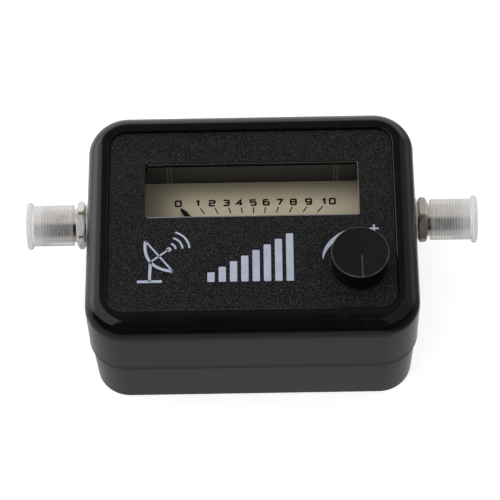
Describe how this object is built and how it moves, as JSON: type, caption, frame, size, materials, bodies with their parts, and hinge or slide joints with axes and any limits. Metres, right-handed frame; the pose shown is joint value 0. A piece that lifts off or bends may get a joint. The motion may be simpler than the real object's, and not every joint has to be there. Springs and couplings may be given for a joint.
{
  "type": "satellite signal meter",
  "caption": "Hand-held satellite signal meter: black two-part case, moving-coil dial behind a clear window, gain knob and a capped coaxial socket at each side.",
  "frame": {"origin": "middle of the flat bottom of the case", "axes": "+X to the right as the dial is read, through the two sockets; +Y from the knob's edge of the face to the window's edge; +Z out of the face"},
  "size_m": [0.1272, 0.071, 0.0479],
  "materials": {
    "case_black": "moulded black ABS, glossy",
    "panel_black": "black plate with a fine grain",
    "knob_black": "moulded black, satin",
    "meter_black": "moulded black, matt",
    "window_clear": "clear moulded styrene",
    "scale_beige": "printed cream plate",
    "needle_black": "matt black paint",
    "soft_iron": "ground",
    "copper_coil": "enamelled copper wire",
    "brass": "bright turned",
    "lamp_glass": "clear",
    "zinc_steel": "zinc plated",
    "nickel": "nickel plated, slightly worn",
    "insulator_white": "natural polyethylene",
    "cap_translucent": "milky translucent polyethylene",
    "board_green": "solder mask",
    "component_black": "moulded",
    "capacitor_sleeve": "shrink sleeve",
    "print_white": "screen print on the face",
    "print_black": "print on the scale"
  },
  "bodies": {
    "case": {"upper_case": "case_black", "lower_case": "case_black", "face_panel": "panel_black", "case_screw_1": "zinc_steel", "case_screw_2": "zinc_steel", "case_screw_3": "zinc_steel", "case_screw_4": "zinc_steel", "meter_base": "meter_black", "meter_cover": "window_clear", "scale_plate": "scale_beige", "left_lamp": "lamp_glass", "right_lamp": "lamp_glass", "left_terminal": "brass", "right_terminal": "brass", "meter_yoke": "soft_iron", "magnet_core": "soft_iron", "meter_bridge": "brass", "upper_jewel_screw": "brass", "lower_jewel_screw": "brass", "left_stop": "brass", "right_stop": "brass", "hairspring": "brass", "potentiometer": "zinc_steel", "pot_washer": "zinc_steel", "pot_nut": "zinc_steel", "left_connector": "nickel", "right_connector": "nickel", "left_insulator": "insulator_white", "right_insulator": "insulator_white", "left_contact": "brass", "right_contact": "brass", "left_lock_washer": "zinc_steel", "right_lock_washer": "zinc_steel", "left_hex_nut": "nickel", "right_hex_nut": "nickel", "circuit_board": "board_green", "board_screw_1": "zinc_steel", "board_screw_2": "zinc_steel", "board_screw_3": "zinc_steel", "board_screw_4": "zinc_steel", "shield_can": "zinc_steel", "buzzer": "component_black", "capacitor_1": "capacitor_sleeve", "capacitor_2": "capacitor_sleeve", "capacitor_3": "capacitor_sleeve", "transistor_1": "component_black", "transistor_2": "component_black", "transistor_3": "component_black", "inductor": "copper_coil"},
    "knob": {"knob": "knob_black", "pot_shaft": "zinc_steel"},
    "needle": {"needle": "needle_black", "moving_coil": "copper_coil", "upper_staff": "zinc_steel", "lower_staff": "zinc_steel"},
    "left_cap": {"left_dust_cap": "cap_translucent"},
    "right_cap": {"right_dust_cap": "cap_translucent"}
  },
  "joints": [
    {"name": "knob_turn", "type": "hinge", "parent": "case", "child": "knob", "pos_m": [0.0296, -0.0157, 0.04], "axis": [0, 0, 1], "range_deg": [-300, 0]},
    {"name": "needle_swing", "type": "hinge", "parent": "case", "child": "needle", "pos_m": [0, -0.0153, 0.03], "axis": [0, 0, 1], "range_deg": [-78, 0], "stiffness_Nm_per_rad": 0.00002, "deforming": ["hairspring"]},
    {"name": "left_cap_pull", "type": "slide", "parent": "case", "child": "left_cap", "axis": [-1, 0, 0], "range_m": [0, 0.015]},
    {"name": "right_cap_pull", "type": "slide", "parent": "case", "child": "right_cap", "axis": [1, 0, 0], "range_m": [0, 0.015]}
  ]
}
